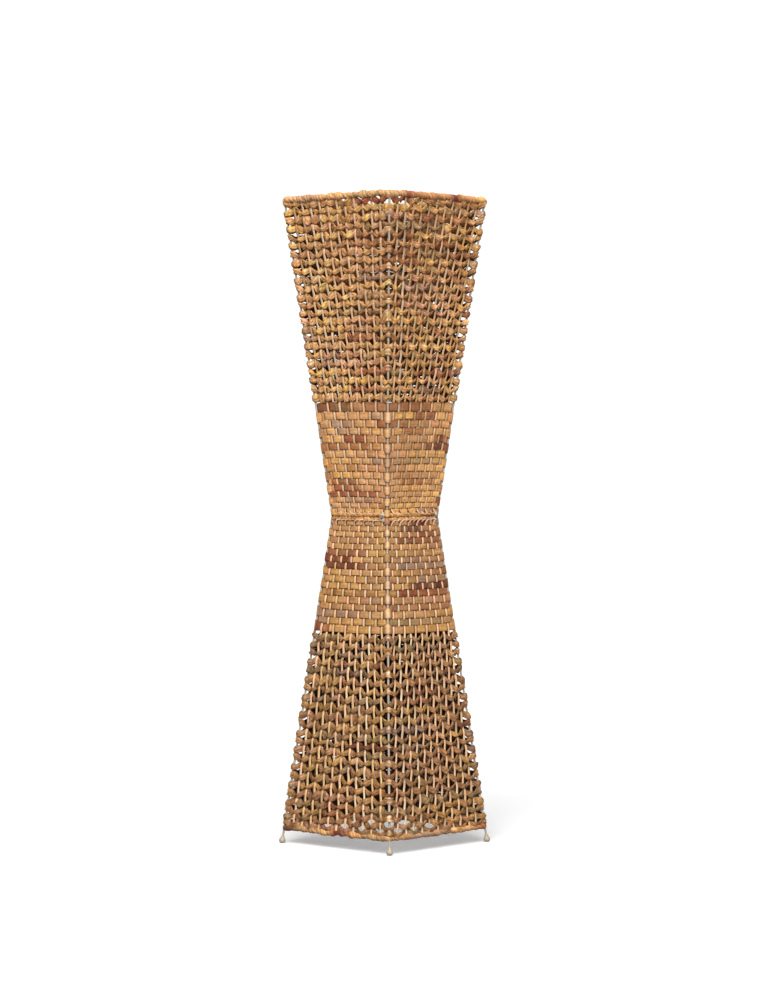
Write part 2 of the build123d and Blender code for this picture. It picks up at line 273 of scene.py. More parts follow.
def leaf_colours(rng, t, mix, shortest, longest, patches=(), joint=None):
    """Colour round a row: a chain of leaves, each drifting from one colour to another.

    Lengths are in stake spacings. A patch is (from t, to t, colour). joint is the parity of the stakes that
    hide the joins; without it the joins are blurred.
    """
    colour = np.zeros((len(t), 3))
    start = rng.uniform(0, ROUND)
    if joint is not None:
        start = 2 * round(start / 2) + joint
    done = 0.0
    while done < ROUND:
        length = rng.uniform(shortest, longest)
        if joint is not None:
            length = 2 * max(1, round(length / 2))
        length = min(length, ROUND - done)
        first, last = (linear(LEAF[rng.choice(len(LEAF), p=mix)]) for _ in range(2))
        along = ((t - start - done) % ROUND) / length
        inside = along < 1
        share = along[inside, None] * rng.uniform(0.2, 1.0)
        tone = 1 + rng.normal(0, 0.07)
        colour[inside] = (first * (1 - share) + last * share) * tone
        done += length
    for low, high, shade in patches:
        inside = ((t - low) % ROUND) < (high - low)
        edge = 0.8 + 0.2 * wander(rng, t[inside], 9, 30)
        colour[inside] += (linear(shade) - colour[inside]) * np.clip(edge, 0, 1)[:, None]
    if joint is None:
        reach = max(1, len(t) // ROUND // 3)
        shifts = range(-reach, reach + 1)
        colour = sum(np.roll(colour, shift, axis=0) for shift in shifts) / len(shifts)
    return colour * TINT


# ---------------------------------------------------------------- woven rows

INNER_SIDE_SHADE = 0.16                        # painted shade: how light the inner side of a leaf is drawn beside its outer side, for the shade inside the lamp
DEEPEN = np.array([0.95, 1.15, 1.4])     # shaded leaf turns redder as it darkens
CORNER_CREASE_HIGHLIGHT = (228, 188, 146)          # painted highlight along the fold where a leaf is folded round a corner wire


def strip_ring(count, power):
    """Across and through positions, -1 to 1, of the points round a flat strip's edge."""
    angle = 2 * np.pi * (np.arange(count) + 0.5) / count
    across = np.sign(np.cos(angle)) * np.abs(np.cos(angle)) ** power
    return across[None, :], np.sin(angle)[None, :]


def column(values):
    """One value for each place along a strip, ready to meet the points round its section."""
    return np.asarray(values)[:, None]


def lay_strip(basket, name, t, ring, middle, width, thick, out, tilt, ripple, colour, shade, fold, rng):
    """Sweeps a strip's section round the lamp and makes the piece."""
    across, through = ring
    side, face = column(width) / 2 * across, column(thick) / 2 * through
    turn = column(tilt)
    z = column(middle) + side * np.cos(turn) - face * np.sin(turn)
    off = column(out) + side * np.sin(turn) + face * np.cos(turn) + ripple
    points = wall_points(basket, np.broadcast_to(column(t), z.shape), z, off, fold)
    # Painted shade: the inner side of the strip is drawn darker than its outer side.
    shade = shade * np.where(through < 0, INNER_SIDE_SHADE, 1.0)
    length = column(t) * 2 * basket.half(middle.mean()) / PER_FACE
    fibre = np.stack(np.broadcast_arrays(length, side, rng.uniform(0, 50)), axis=-1)
    skin = Skin()
    skin.grid(points, colour[:, None, :] * shade[..., None] ** DEEPEN, fibre, close_rows=True)
    return skin.make(name, leaf)


# Edges of an open strip, in row pitches above its crossings, from the stake it peaks behind (0) to the one
# it crosses (1). Some peaks are round and some are pointed.
EDGE_AT = [0.0, 0.2, 0.45, 0.7, 0.88, 1.0]
ROUND_HIGH = [0.76, 0.73, 0.62, 0.38, 0.18, 0.12]
PEAKED_HIGH = [0.82, 0.60, 0.36, 0.20, 0.13, 0.11]
EDGE_LOW = [0.06, 0.00, -0.26, -0.38, -0.27, -0.13]
OPEN_STEPS = 14                  # places along a strip from one stake to the next
CORNER_REACH = 0.42              # how far a corner shapes an open strip, in stake spacings
BACK_WIDTH = 1.16                # least width of a full strip of the back walls, in pitches
KNOB_WIDTH = 0.80                # and of any strip where it rounds a side corner
BACK_REACH = 11.6                # how far the fuller strips run either way from the back corner
OPEN_STAKE_PUSH = 1.1 * MM


def open_row(basket, number, z, pitch, phase, seed, mix, fullness):
    """A crumpled strip: it arches behind one stake, hangs in lobes either side, and is pinched where it
    crosses in front of the next."""
    rng = np.random.default_rng(seed)
    t = np.arange(ROUND * OPEN_STEPS) / OPEN_STEPS
    count = (t + phase) % 2
    away = np.abs(count - 1)
    under = 0.5 - 0.5 * np.cos(np.pi * count)
    near = np.exp(-(corner_distance(t) / CORNER_REACH) ** 2)
    side_corner = near * (np.cos(2 * np.pi * t / ROUND) < 0.9)
    behind = basket.back_fill * np.clip((BACK_REACH - np.abs(t - ROUND / 2)) / 0.8, 0, 1)
    lean = np.sin(np.pi * count)
    peaked = np.clip(0.5 + per_stake(rng, t, 0.5), 0, 1)
    rounded, pointed = np.interp(away, EDGE_AT, ROUND_HIGH), np.interp(away, EDGE_AT, PEAKED_HIGH)
    high = rounded * (1 - peaked) + pointed * peaked
    high = high * (1 + per_stake(rng, t, 0.14)) + 0.05 * lean
    low = np.interp(away, EDGE_AT, EDGE_LOW) * (1 + per_stake(rng, t, 0.22)) + 0.07 * lean
    width = pitch * (high - low) * (rng.normal(fullness, 0.07) + 0.07 * wander(rng, t, 2, 14))
    width += (np.maximum(width, BACK_WIDTH * pitch) - width) * behind
    middle = z + pitch * ((high + low) / 2 - 0.17) * (1 - 0.4 * side_corner) * (1 - behind)
    middle += pitch * (0.03 * wander(rng, t, 2, 20) + per_stake(rng, t, 0.05))
    width += (np.maximum(width, KNOB_WIDTH * pitch) - width) * side_corner
    thick = (2.2 + 2.4 * (1 - under) ** 2 + 1.6 * side_corner) * MM
    out = (2.9 - 4.3 * under) * MM + 0.5 * MM * wander(rng, t, 8, 40)
    out += (4.6 * MM - out) * near
    tilt = 0.18 * wander(rng, t, 5, 30) + 0.20 * lean * (1 - near)
    ring = strip_ring(count=16, power=0.9)
    across = ring[0]
    drift = (1.3 * wander(rng, t, 5, 34))[:, None]
    pleat = (np.sin(2.1 * np.pi * across + drift) + 0.6 * np.sin(4.3 * np.pi * across - 1.7 * drift)
             + 0.5 * (wander(rng, t, 40, 150)[:, None] * np.cos(1.6 * np.pi * across)))
    depth = (0.40 + 0.50 * under)[:, None] * MM
    curl = (wander(rng, t, 6, 36) * 1.1 * MM * under)[:, None] * across ** 2
    shade = 1.04 + 0.26 * pleat + 0.16 * across - (0.34 - 0.20 * across) * np.abs(across) ** 4
    shade = np.clip(shade, 0.22, 1.5) * (1 + 0.10 * wander(rng, t, 20, 60))[:, None]
    pinch = 0.36 * np.clip(away * 4 - 3, 0, 1)
    shade = shade * (1.06 - 0.10 * away - pinch + 0.10 * lean + per_stake(rng, 2 * t, 0.10))[:, None]
    crumple = wander(rng, t, 50, 260)[:, None] * np.cos(2.6 * np.pi * across + drift)
    shade = shade * np.clip(1 + 0.30 * crumple + 0.12 * wander(rng, t, 60, 300)[:, None], 0.35, 1.6)
    colour = leaf_colours(rng, t, mix, 2, 7) * basket.open_tone
    hue = per_stake(rng, 2 * t, 0.5)[:, None]
    colour = colour * (1 + hue * np.array([0.05, 0.02, 0.22]))
    # Painted highlight: a light line where the strip folds round a corner wire.
    crease_highlight = 0.6 * np.exp(-(corner_distance(t) / 0.10) ** 2) * (away < 0.5)
    colour += (linear(CORNER_CREASE_HIGHLIGHT) - colour) * crease_highlight[:, None]
    name = f"{basket.label}_open_row_{number + 1:02d}"
    piece = lay_strip(basket, name, t, ring, middle, width, thick, out, tilt,
                      depth * pleat * (1 - across ** 6) + curl, colour, shade, FOLD, rng)
    basket.rows.append((z, phase, OPEN_STAKE_PUSH))
    place(piece, "lamp", "woven_fibre", f"{basket.label}_open_weave")


CLOSE_STEPS = 12                 # places along a strip from one stake to the next
CLOSE_T = 0.8 * MM
CLOSE_FOLD = 3.6 * MM            # how far from a corner wire the flat strip starts to bend round it
CLOSE_STAKE_PUSH = 0.6 * MM
# Painted highlight along the fold of a flat strip round a corner wire
FOLD_HIGHLIGHT = (232, 196, 152)


def close_row(basket, number, z, height, phase, seed, mix, patches):
    """A flat strip over one stake and under the next, folded round the corner wires."""
    rng = np.random.default_rng(seed)
    t = np.arange(ROUND * CLOSE_STEPS) / CLOSE_STEPS
    over = np.tanh(3.0 * (np.cos(np.pi * (t + phase)) + 0.5))
    over = 2 * (over - over.min()) / (over.max() - over.min()) - 1
    off_corner = np.abs(corner_distance(t))
    near = np.exp(-(off_corner / 0.4) ** 2)
    point = np.clip(1 - off_corner / 1.1, 0, 1)
    top = phase % 2 == 0
    sag = -basket.up * MM * (np.exp(-off_corner / 1.4) * 1.8 + (2.8 if top else 0.6) * point)
    middle = z + sag + 0.015 * height * wander(rng, t, 2, 16)
    width = height * (0.965 + 0.02 * over + per_stake(rng, t, 0.02) + (0.46 if top else 0.0) * point)
    out = (0.25 + 1.25 * over + near * (1.05 + 1.15 * over)) * MM + 0.10 * MM * wander(rng, t, 10, 40)
    tilt = 0.025 * wander(rng, t, 4, 30)
    ring = strip_ring(count=14, power=0.55)
    across = ring[0]
    cup = (0.30 + 0.2 * wander(rng, t, 6, 36))[:, None] * MM * (1 - across ** 2)
    drift = wander(rng, t, 3, 16)[:, None]
    ribs = np.sin(4.3 * np.pi * across + 2 * drift)
    grain = 0.10 * MM * ribs * (1 - across ** 6)
    shade = 1.11 - (0.86 - 0.12 * across) * np.abs(across) ** 7 + 0.08 * ribs
    rightward = (t + phase + 1) % 2 - 1
    shade = shade * (0.45 + 0.55 * np.clip((over + 1.0) / 1.7, 0, 1) + 0.09 * rightward)[:, None]
    shade = shade * (1 + per_stake(rng, t, 0.07, sharp=True))[:, None]
    # Painted highlight on the fold over the corner wire, and painted shade on the strip either side of it.
    crease_highlight = (0.8 if top and rng.random() < 0.85 else 0.1) * np.exp(-(off_corner / 0.13) ** 2)
    shade = shade * (1 - 0.22 * np.exp(-((off_corner - 0.4) / 0.2) ** 2) * top)[:, None]
    colour = leaf_colours(rng, t, mix, 3, 14, patches, joint=1 - phase) * basket.close_tone
    colour += (linear(FOLD_HIGHLIGHT) - colour) * crease_highlight[:, None]
    name = f"{basket.label}_close_row_{number + 1:02d}"
    piece = lay_strip(basket, name, t, ring, middle, width, np.full_like(t, CLOSE_T), out, tilt,
                      cup + grain, colour, shade, CLOSE_FOLD, rng)
    basket.rows.append((z, phase, CLOSE_STAKE_PUSH))
    place(piece, "lamp", "woven_fibre", f"{basket.label}_close_weave")


def close_rows(basket, heights, seed, mix, patches):
    """Rows of flat strip from the waist outward, scaled to fill the close panel and meet the waist rail."""
    start, end = basket.close_span
    start -= basket.up * 1.8 * MM
    heights = np.array(heights) * abs(end - start) / sum(heights)
    z = start
    for number, height in enumerate(heights):
        middle = z + basket.up * height / 2
        close_row(basket, number, middle, height, number % 2, seed + number, mix, patches.get(number, ()))
        z += basket.up * height


EDGE_ROWS = 5                    # the rows at the wide end that are packed closer
EDGE_FULLER = 0.28               # how much fuller the last of them are


def open_rows(basket, count, seed, mix, edge_pitch):
    """Rows of twisted strip over the open panel, packed closer toward the wide end."""
    first = len(basket.rows)
    start, end = basket.open_span
    end += basket.up * 4.5 * MM
    rng = np.random.default_rng(seed + 90)
    squeeze = np.interp(np.arange(count), [0, count - EDGE_ROWS, count - 1], [1, 1, edge_pitch])
    pitches = squeeze * rng.normal(1, 0.05, count)
    pitches *= abs(end - start) / pitches.sum()
    z = start
    for number, pitch in enumerate(pitches):
        middle = z + basket.up * pitch / 2
        edge = np.clip((number - count + EDGE_ROWS + 1) / EDGE_ROWS, 0, 1)
        fullness = basket.fullness + EDGE_FULLER * edge
        open_row(basket, number, middle, pitch, (first + number) % 2, seed + number, mix, fullness)
        z += basket.up * pitch


# ---------------------------------------------------------------- stakes

def stake_push(basket, t, z):
    """How far the rows push a stake inward at each height, outward where a row goes behind it."""
    rows = sorted(basket.rows)
    heights = np.array([row[0] for row in rows])
    pushes = np.array([row[2] * math.cos(math.pi * round(t + row[1])) for row in rows])
    at = np.clip(np.interp(z, heights, np.arange(len(rows))), 0, len(rows) - 1)
    low = np.floor(at).astype(int)
    high = np.minimum(low + 1, len(rows) - 1)
    share = at - low
    share = share * share * (3 - 2 * share)
    return -(pushes[low] * (1 - share) + pushes[high] * share)


TAIL_STEPS, CURVE_STEPS, STRAIGHT_STEPS = 5, 22, 215
STAKE_W = 4.7 * MM
STAKE_T = 1.7 * MM
OPEN_FROM = 200 * MM             # how far from the waist a stake starts to show in the open weave


def stake_line(basket, rng):
    """Heights, sideways shifts and bend of a stake.

    Its thin end curves round and runs along the waist rail, and the rest of it is straight.
    """
    curve_width, curve_height = rng.uniform(7, 9) * MM, rng.uniform(8, 10) * MM
    tip = basket.waist_z + basket.up * rng.uniform(0.4, 2.0) * MM
    angle = np.linspace(0, np.pi / 2, CURVE_STEPS)
    tail = np.linspace(5 * MM, 0, TAIL_STEPS + 1)[:-1]
    top = np.linspace(tip + basket.up * curve_height, basket.end_z, STRAIGHT_STEPS + 1)[1:]
    straight = np.zeros(STRAIGHT_STEPS)
    curve = tip + basket.up * curve_height * (1 - np.cos(angle))
    z = np.concatenate([np.full(TAIL_STEPS, tip), curve, top])
    sideways = np.concatenate([curve_width + tail, curve_width * (1 - np.sin(angle)), straight])
    bend = np.concatenate([np.ones(TAIL_STEPS), 1 - angle / (np.pi / 2), straight])
    return z, sideways, bend


def one_stake(skin, basket, t, rng):
    """A split stick woven in and out of the rows."""
    z, sideways, bend = stake_line(basket, rng)
    rise = np.abs(z - basket.waist_z)
    spacing = 2 * basket.half(z) / PER_FACE
    open_part = np.clip((rise - OPEN_FROM) / (20 * MM), 0, 1)
    lengths = (310 * MM, 120 * MM, 50 * MM, 27 * MM)
    wave = sum(np.sin(2 * np.pi * (rise / length + rng.random())) for length in lengths)
    sideways = sideways + 0.13 * MM * wave * (0.35 + open_part)
    own_width = STAKE_W + rng.normal(0, 0.25) * MM
    width = own_width + 0.35 * MM * np.sin(2 * np.pi * (rise / (70 * MM) + rng.random()))
    width = width * (1 - 0.55 * np.sqrt(bend))
    thick = STAKE_T * (1 - 0.2 * bend)
    angle = 2 * np.pi * (np.arange(10) + 0.5) / 10
    across = np.sign(np.cos(angle)) * np.abs(np.cos(angle)) ** 0.6
    through = np.sign(np.sin(angle)) * np.abs(np.sin(angle)) ** 0.6
    lie = np.clip(1.6 * bend, 0, 1)
    out = stake_push(basket, t, z) * (1 - lie) + 3.6 * MM * lie
    run = np.stack([np.gradient(sideways), np.gradient(z)])
    run /= np.linalg.norm(run, axis=0)
    reach = width[:, None] / 2 * across[None] * basket.up
    side = sideways[:, None] + reach * run[1][:, None]
    height = z[:, None] - reach * run[0][:, None]
    off = out[:, None] + thick[:, None] / 2 * through[None]
    points = wall_points(basket, t + side / spacing[:, None], height, off)
    own_colour = linear(STAKE_COLOURS[rng.choice(len(STAKE_COLOURS), p=STAKE_MIX)])
    base = own_colour * (1 + rng.normal(0, 0.06)) * TINT ** 0.7
    # Painted light and shade: a stake is drawn lighter where it shows in the open weave, darker where it lies
    # over a leaf and darker on its inner side, with a little random tone along it.
    against_leaf = np.clip(stake_push(basket, t, z) / MM, 0, 1) * open_part
    tone = 1 + 0.05 * wave + 0.22 * open_part - 0.24 * against_leaf
    tone = tone[:, None] * np.where(through < 0, 0.3, 1.0)[None]
    fibre = np.stack(np.broadcast_arrays(rise[:, None], side, rng.uniform(0, 50)), axis=-1)
    skin.grid(points, base * tone[..., None], fibre, cap=True)


def face_stakes(basket, face):
    """The eleven stakes of one face."""
    rng = np.random.default_rng(900 + face + (40 if basket.up > 0 else 0))
    skin = Skin()
    for number in range(1, PER_FACE):
        one_stake(skin, basket, PER_FACE * face + number, rng)
    piece = skin.make(f"{basket.label}_stakes_face_{face + 1}", stick)
    place(piece, "lamp", "stakes", f"{basket.label}_stakes")


# ---------------------------------------------------------------- wound rails

WINDING_STARTS = 2               # strips wound side by side
LAP = 0.12                       # share of a turn that dips under the next one


def wound_rail(name, z, half, radius, spacing, step, seed, mix, patches=(), bright=1.0):
    """Leaf strip wound round the four rails of one level, as overlapping turns."""
    rng = np.random.default_rng(seed)
    length = 8 * half
    turns = round(length / spacing)
    samples = round(length / step)
    t = np.arange(samples) * ROUND / samples
    angle = np.linspace(-np.pi, np.pi, 24, endpoint=False)
    lead = turns * t / ROUND + 0.28 * wander(rng, t, 10, 60)
    course = lead[:, None] + WINDING_STARTS * angle[None] / (2 * np.pi)
    turn = np.floor(course)
    part = course - turn
    ridge = np.where(part < 1 - LAP, part / (1 - LAP), (1 - part) / LAP)
    size = 1 + 0.10 * wander(rng, t, 12, 70)[:, None]
    r = radius * (0.80 + 0.20 * ridge ** 0.8) * size
    flat, out = on_square(t[:, None], np.full((samples, 1), half), fold=7 * MM)
    sway = 0.5 * MM * wander(rng, t, 3, 20)[:, None]
    reach = (r * np.cos(angle[None]))[..., None]
    height = z + sway + r * np.sin(angle[None])
    points = np.concatenate([flat + out * reach, height[..., None]], axis=-1)
    tones = 1 + rng.normal(0, 0.10, turns)
    # Painted shade: each turn is drawn darker where it dips under the next; the turns also differ in tone at
    # random.
    tone = tones[turn.astype(int) % turns] * (0.62 + 0.68 * ridge ** 0.7) * bright
    colour = leaf_colours(rng, t, mix, 3, 9, patches)
    across = part * spacing
    fibre = np.stack(np.broadcast_arrays(angle[None] * radius, across, turn * 1.37), axis=-1)
    skin = Skin()
    skin.grid(points, colour[:, None, :] * tone[..., None], fibre, close_rows=True)
    piece = skin.make(f"{name}_wrap", wound_leaf)
    place(piece, "lamp", "winding_leaf", f"{name}_winding")


# ---------------------------------------------------------------- waist ties

def closed_loop(skin, centre, side, out, half_height, half_depth, thread, seed):
    """One turn of twine: a rounded oblong with a squeezed middle, square to the side direction."""
    angle = np.linspace(0, 2 * np.pi, 40, endpoint=False)
    around = np.linspace(0, 2 * np.pi, 8, endpoint=False)
    squeeze = 1 - 0.22 * np.exp(-(np.sin(angle) / 0.35) ** 2)
    depth = half_depth * np.sign(np.cos(angle)) * np.abs(np.cos(angle)) ** 0.8 * squeeze
    height = half_height * np.sign(np.sin(angle)) * np.abs(np.sin(angle)) ** 0.8
    rng = np.random.default_rng(seed)
    lean = rng.uniform(-0.12, 0.12) * height
    radial = np.stack([np.cos(angle), np.sin(angle)], axis=1)
    twist = thread * (1 + 0.12 * np.cos(2 * around[None] + 9 * angle[:, None]))
    reach = twist * np.cos(around)[None]
    sideways = lean[:, None] + twist * np.sin(around)[None]
    out_part = depth[:, None] + reach * radial[:, :1]
    up_part = height[:, None] + reach * radial[:, 1:]
    points = (np.array(centre)[None, None] + sideways[..., None] * side + out_part[..., None] * out
              + up_part[..., None] * UP)
    fibre = np.stack(np.broadcast_arrays(angle[:, None] * 0.01, around[None] * thread, seed), axis=-1)
    skin.grid(points, linear((226, 218, 206)), fibre, close_rows=True)


def loose_end(skin, start, direction, length, thread, seed):
    """A short cut end of twine beside the knot."""
    share = np.linspace(0, 1, 10)[:, None]
    around = np.linspace(0, 2 * np.pi, 8, endpoint=False)
    direction = np.array(direction, float) / np.linalg.norm(direction)
    droop = -0.24 * UP * length * share ** 2
    line = np.array(start) + direction * share * length + droop
    first = np.cross(direction, (0.1, 0.2, 1.0))
    first /= np.linalg.norm(first)
    second = np.cross(direction, first)
    ring = first * np.cos(around)[:, None] + second * np.sin(around)[:, None]
    taper = thread * (1 - 0.3 * share)
    points = line[:, None, :] + ring[None] * taper[..., None]
    fibre = np.stack(np.broadcast_arrays(share * length, around[None] * thread, seed), axis=-1)
    skin.grid(points, linear((232, 226, 214)), fibre, cap=True)


def waist_tie(corner):
    """Four turns of twine, two crossing turns and three cut ends, just before each corner."""
    low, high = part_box("waist_ties")
    inset = 7.5 * MM
    thread = 0.7 * MM
    side = np.append(ALONG[corner - 1], 0.0)
    out = np.append(OUTWARD[corner - 1], 0.0)
    half = (upper.waist_half + lower.waist_half) / 2
    centre = np.append(CORNERS[corner] * half, (low.z + high.z) / 2) - side * inset
    half_height = (high.z - low.z) / 2 + 1.0 * MM
    seed = 10 * corner
    skin = Skin()
    for turn in range(4):
        at = centre + side * (turn - 1.5) * 1.15 * MM
        closed_loop(skin, at, side, out, half_height, 5.0 * MM, thread, seed + turn)
    knot = centre + out * 5.6 * MM
    for rise in (-0.8, 0.8):
        closed_loop(skin, knot + UP * rise * MM, UP, side, 1.1 * MM, 3.0 * MM, 0.75 * MM, seed + 7)
    for number, (lean, rise) in enumerate([(-1.0, 0.9), (1.0, -0.8), (0.4, 1.2)]):
        direction = side * lean + UP * rise + out * 0.5
        loose_end(skin, knot, direction, 5.5 * MM, 0.5 * MM, seed + number + 1)
    name = ("front", "right", "back", "left")[corner]
    place(skin.make(f"waist_tie_{name}", twine), "lamp", "tie_nylon", "waist_ties")


# ---------------------------------------------------------------- materials

class Nodes:
    """A new material with a Principled shader, and short calls to add nodes to it."""

    def __init__(self, name):
        self.material = bpy.data.materials.new(name)
        self.material.use_nodes = True
        self.tree = self.material.node_tree
        self.shader = self.tree.nodes["Principled BSDF"]

    def add(self, kind, **inputs):
        node = self.tree.nodes.new(kind)
        for key, value in inputs.items():
            node.inputs[key.replace("_", " ")].default_value = value
        return node

    def link(self, output, socket):
        self.tree.links.new(output, socket)

    def set(self, **inputs):
        for key, value in inputs.items():
            self.shader.inputs[key.replace("_", " ")].default_value = value

    def attribute(self, name):
        node = self.tree.nodes.new("ShaderNodeAttribute")
        node.attribute_name = name
        return node

    def place(self, source, scale):
        """Coordinates stretched by a scale along each axis."""
        node = self.tree.nodes.new("ShaderNodeVectorMath")
        node.operation = "MULTIPLY"
        self.link(source, node.inputs[0])
        node.inputs[1].default_value = scale
        return node.outputs[0]

    def object_place(self, scale):
        return self.place(self.tree.nodes.new("ShaderNodeTexCoord").outputs["Object"], scale)

    def noise(self, place, detail=3.0, roughness=0.6):
        node = self.add("ShaderNodeTexNoise", Scale=1.0, Detail=detail, Roughness=roughness)
        self.link(place, node.inputs["Vector"])
        return node.outputs[0]

    def span(self, value, low, high, from_low=0.3, from_high=0.7):
        """A value stretched to run from low to high."""
        node = self.tree.nodes.new("ShaderNodeMapRange")
        self.link(value, node.inputs["Value"])
        limits = {"From Min": from_low, "From Max": from_high, "To Min": low, "To Max": high}
        for key, number in limits.items():
            node.inputs[key].default_value = number
        return node.outputs[0]

    def times(self, first, second):
        node = self.tree.nodes.new("ShaderNodeMath")
        node.operation = "MULTIPLY"
        self.link(first, node.inputs[0])
        self.link(second, node.inputs[1])
        return node.outputs[0]

    def scale_colour(self, colour, value):
        """A colour made lighter or darker by a value."""
        node = self.tree.nodes.new("ShaderNodeVectorMath")
        node.operation = "SCALE"
        self.link(colour, node.inputs[0])
        self.link(value, node.inputs["Scale"])
        return node.outputs[0]

    def mix(self, value, first, second):
        """Runs between two colours, each a socket or a linear colour."""
        node = self.tree.nodes.new("ShaderNodeMix")
        node.data_type = "RGBA"
        self.link(value, node.inputs[0])
        for socket, colour in ((node.inputs[6], first), (node.inputs[7], second)):
            if isinstance(colour, bpy.types.NodeSocket):
                self.link(colour, socket)
            else:
                socket.default_value = (*colour, 1)
        return node.outputs[2]

    def bump(self, height, distance, strength=1.0):
        node = self.add("ShaderNodeBump", Strength=strength, Distance=distance)
        self.link(height, node.inputs["Height"])
        self.link(node.outputs[0], self.shader.inputs["Normal"])

    def colour(self, output):
        self.link(output, self.shader.inputs["Base Color"])

    def roughness(self, output):
        self.link(output, self.shader.inputs["Roughness"])


def leaf_material(name, streak, blotch, contrast, bump):
    """Dried leaf: fine streaks along the fibre, brown blotches, a dull waxy face."""
    n = Nodes(name)
    fibre = n.attribute("fibre").outputs["Vector"]
    base = n.attribute("leaf_colour").outputs["Color"]
    fine = n.noise(n.place(fibre, (streak, streak * 34, 1.0)), 4.0, 0.65)
    broad = n.noise(n.place(fibre, (streak * 0.8, streak * 9, 1.3)), 2.0)
    stains = n.noise(n.place(fibre, (blotch, blotch * 2.2, 1.7)), 3.0, 0.6)
    lit = n.scale_colour(base, n.times(n.span(fine, 1 - contrast, 1 + contrast * 0.7),
                                       n.span(broad, 1 - contrast * 0.6, 1 + contrast * 0.5)))
    n.colour(n.mix(n.span(stains, 0.0, 0.55, 0.56, 0.74), lit, linear((128, 84, 54))))
    n.roughness(n.span(fine, 0.72, 0.48))
    n.bump(fine, bump, 0.9)
    n.set(IOR=1.42)
    n.shader.inputs["Specular IOR Level"].default_value = 0.28
    return n.material


def twine_material():
    """White nylon twine, gone a little grey, with the twist of its strands."""
    n = Nodes("nylon_twine")
    fibre = n.attribute("fibre").outputs["Vector"]
    base = n.attribute("leaf_colour").outputs["Color"]
    strands = n.noise(n.place(fibre, (900, 2200, 1.0)), 2.0)
    dirt = n.noise(n.object_place((260, 260, 260)), 3.0)
    n.colour(n.mix(n.span(dirt, 0.0, 0.55), base, linear((150, 138, 124))))
    n.roughness(n.span(strands, 0.35, 0.6))
    n.bump(strands, 0.2 * MM, 0.8)
    return n.material


def painted_wire():
    """Putty-grey paint on steel wire, a little worn and dusty, with brush lumps."""
    n = Nodes("painted_wire")
    lumps = n.noise(n.object_place((420, 420, 120)), 3.0)
    dust = n.noise(n.object_place((60, 60, 25)), 4.0, 0.65)
    paint = n.mix(n.span(dust, 0.0, 1.0), linear((194, 180, 160)), linear((160, 146, 128)))
    n.colour(n.mix(n.span(lumps, 0.0, 0.5, 0.6, 0.78), paint, linear((122, 104, 84))))
    n.roughness(n.span(dust, 0.42, 0.62))
    n.bump(lumps, 0.25 * MM, 0.7)
    return n.material


def grained(name, first, second, rough, grain, bump, metallic=0.0, wear=None):
    """A surface with two close tones, uneven gloss and a fine grain. bump is in millimetres."""
    n = Nodes(name)
    fine = n.noise(n.object_place(grain), 4.0, 0.6)
    broad = n.noise(n.object_place((40, 40, 40)), 3.0)
    tone = n.mix(n.span(broad, 0.0, 1.0), linear(first), linear(second))
    if wear:
        tone = n.mix(n.span(fine, 0.0, 0.8, 0.6, 0.75), tone, linear(wear))
    n.colour(tone)
    n.roughness(n.span(fine, rough[0], rough[1]))
    n.bump(fine, bump * MM, 0.6)
    n.shader.inputs["Metallic"].default_value = metallic
    return n.material


# By slot: name, two tones, least and greatest roughness, and what else sets the finish apart
FINISHES = {
    "plated_steel": ("zinc_plated_steel", (186, 184, 178), (150, 148, 140), (0.25, 0.45),
                     dict(metallic=1.0, grain=(900, 60, 900), bump=0.03, wear=(120, 104, 84))),
    "holder_metal": ("brushed_brass_shell", (196, 160, 96), (168, 130, 74), (0.28, 0.42),
                     dict(metallic=1.0, grain=(60, 60, 1800), bump=0.03)),
    "sleeve_card": ("fibre_card", (62, 54, 46), (44, 38, 34), (0.75, 0.95),
                    dict(grain=(240, 240, 900), bump=0.08)),
    "black_plastic": ("black_phenolic", (34, 33, 32), (22, 21, 21), (0.28, 0.5),
                      dict(grain=(700, 700, 700), bump=0.03)),
    "brass_parts": ("turned_brass", (212, 176, 104), (184, 144, 78), (0.2, 0.38),
                    dict(metallic=1.0, grain=(90, 90, 2200), bump=0.03)),
    "bulb_black_glass": ("vitrite_glass", (26, 24, 30), (14, 13, 17), (0.08, 0.2),
                         dict(grain=(500, 500, 500), bump=0.02)),
    "bulb_cap_metal": ("nickelled_cap", (196, 194, 188), (168, 166, 160), (0.2, 0.36),
                       dict(metallic=1.0, grain=(80, 80, 1600), bump=0.03)),
    "bulb_white_plastic": ("white_housing", (226, 225, 220), (214, 212, 206), (0.36, 0.5),
                           dict(grain=(1200, 1200, 1200), bump=0.03)),
    "circuit_board": ("white_led_board", (220, 222, 216), (196, 200, 190), (0.3, 0.5),
                      dict(grain=(500, 500, 500), bump=0.03, wear=(206, 190, 90))),
}


def bulb_opal():
    """Frosted white dome with a faint unevenness."""
    n = Nodes("opal_dome")
    frost = n.noise(n.object_place((1500, 1500, 1500)), 2.0)
    broad = n.noise(n.object_place((30, 30, 30)), 2.0)
    n.colour(n.mix(n.span(broad, 0.0, 1.0), linear((242, 240, 234)), linear((232, 229, 221))))
    n.roughness(n.span(frost, 0.28, 0.42))
    n.bump(frost, 0.02 * MM, 0.4)
    return n.material


def paint_solids():
    """Gives every carried-over solid the material of its slot in the record."""
    made = {slot: grained(*tones, **rest) for slot, (*tones, rest) in FINISHES.items()}
    made["frame_paint"] = painted_wire()
    made["bulb_opal"] = bulb_opal()
    for subpart in frame["record"]["subparts"]:
        slot = subpart["material_slot"]
        if slot in made:
            mesh = frame["nodes"][subpart["node"]].data
            mesh.materials.clear()
            mesh.materials.append(made[slot])


# ---------------------------------------------------------------- the room

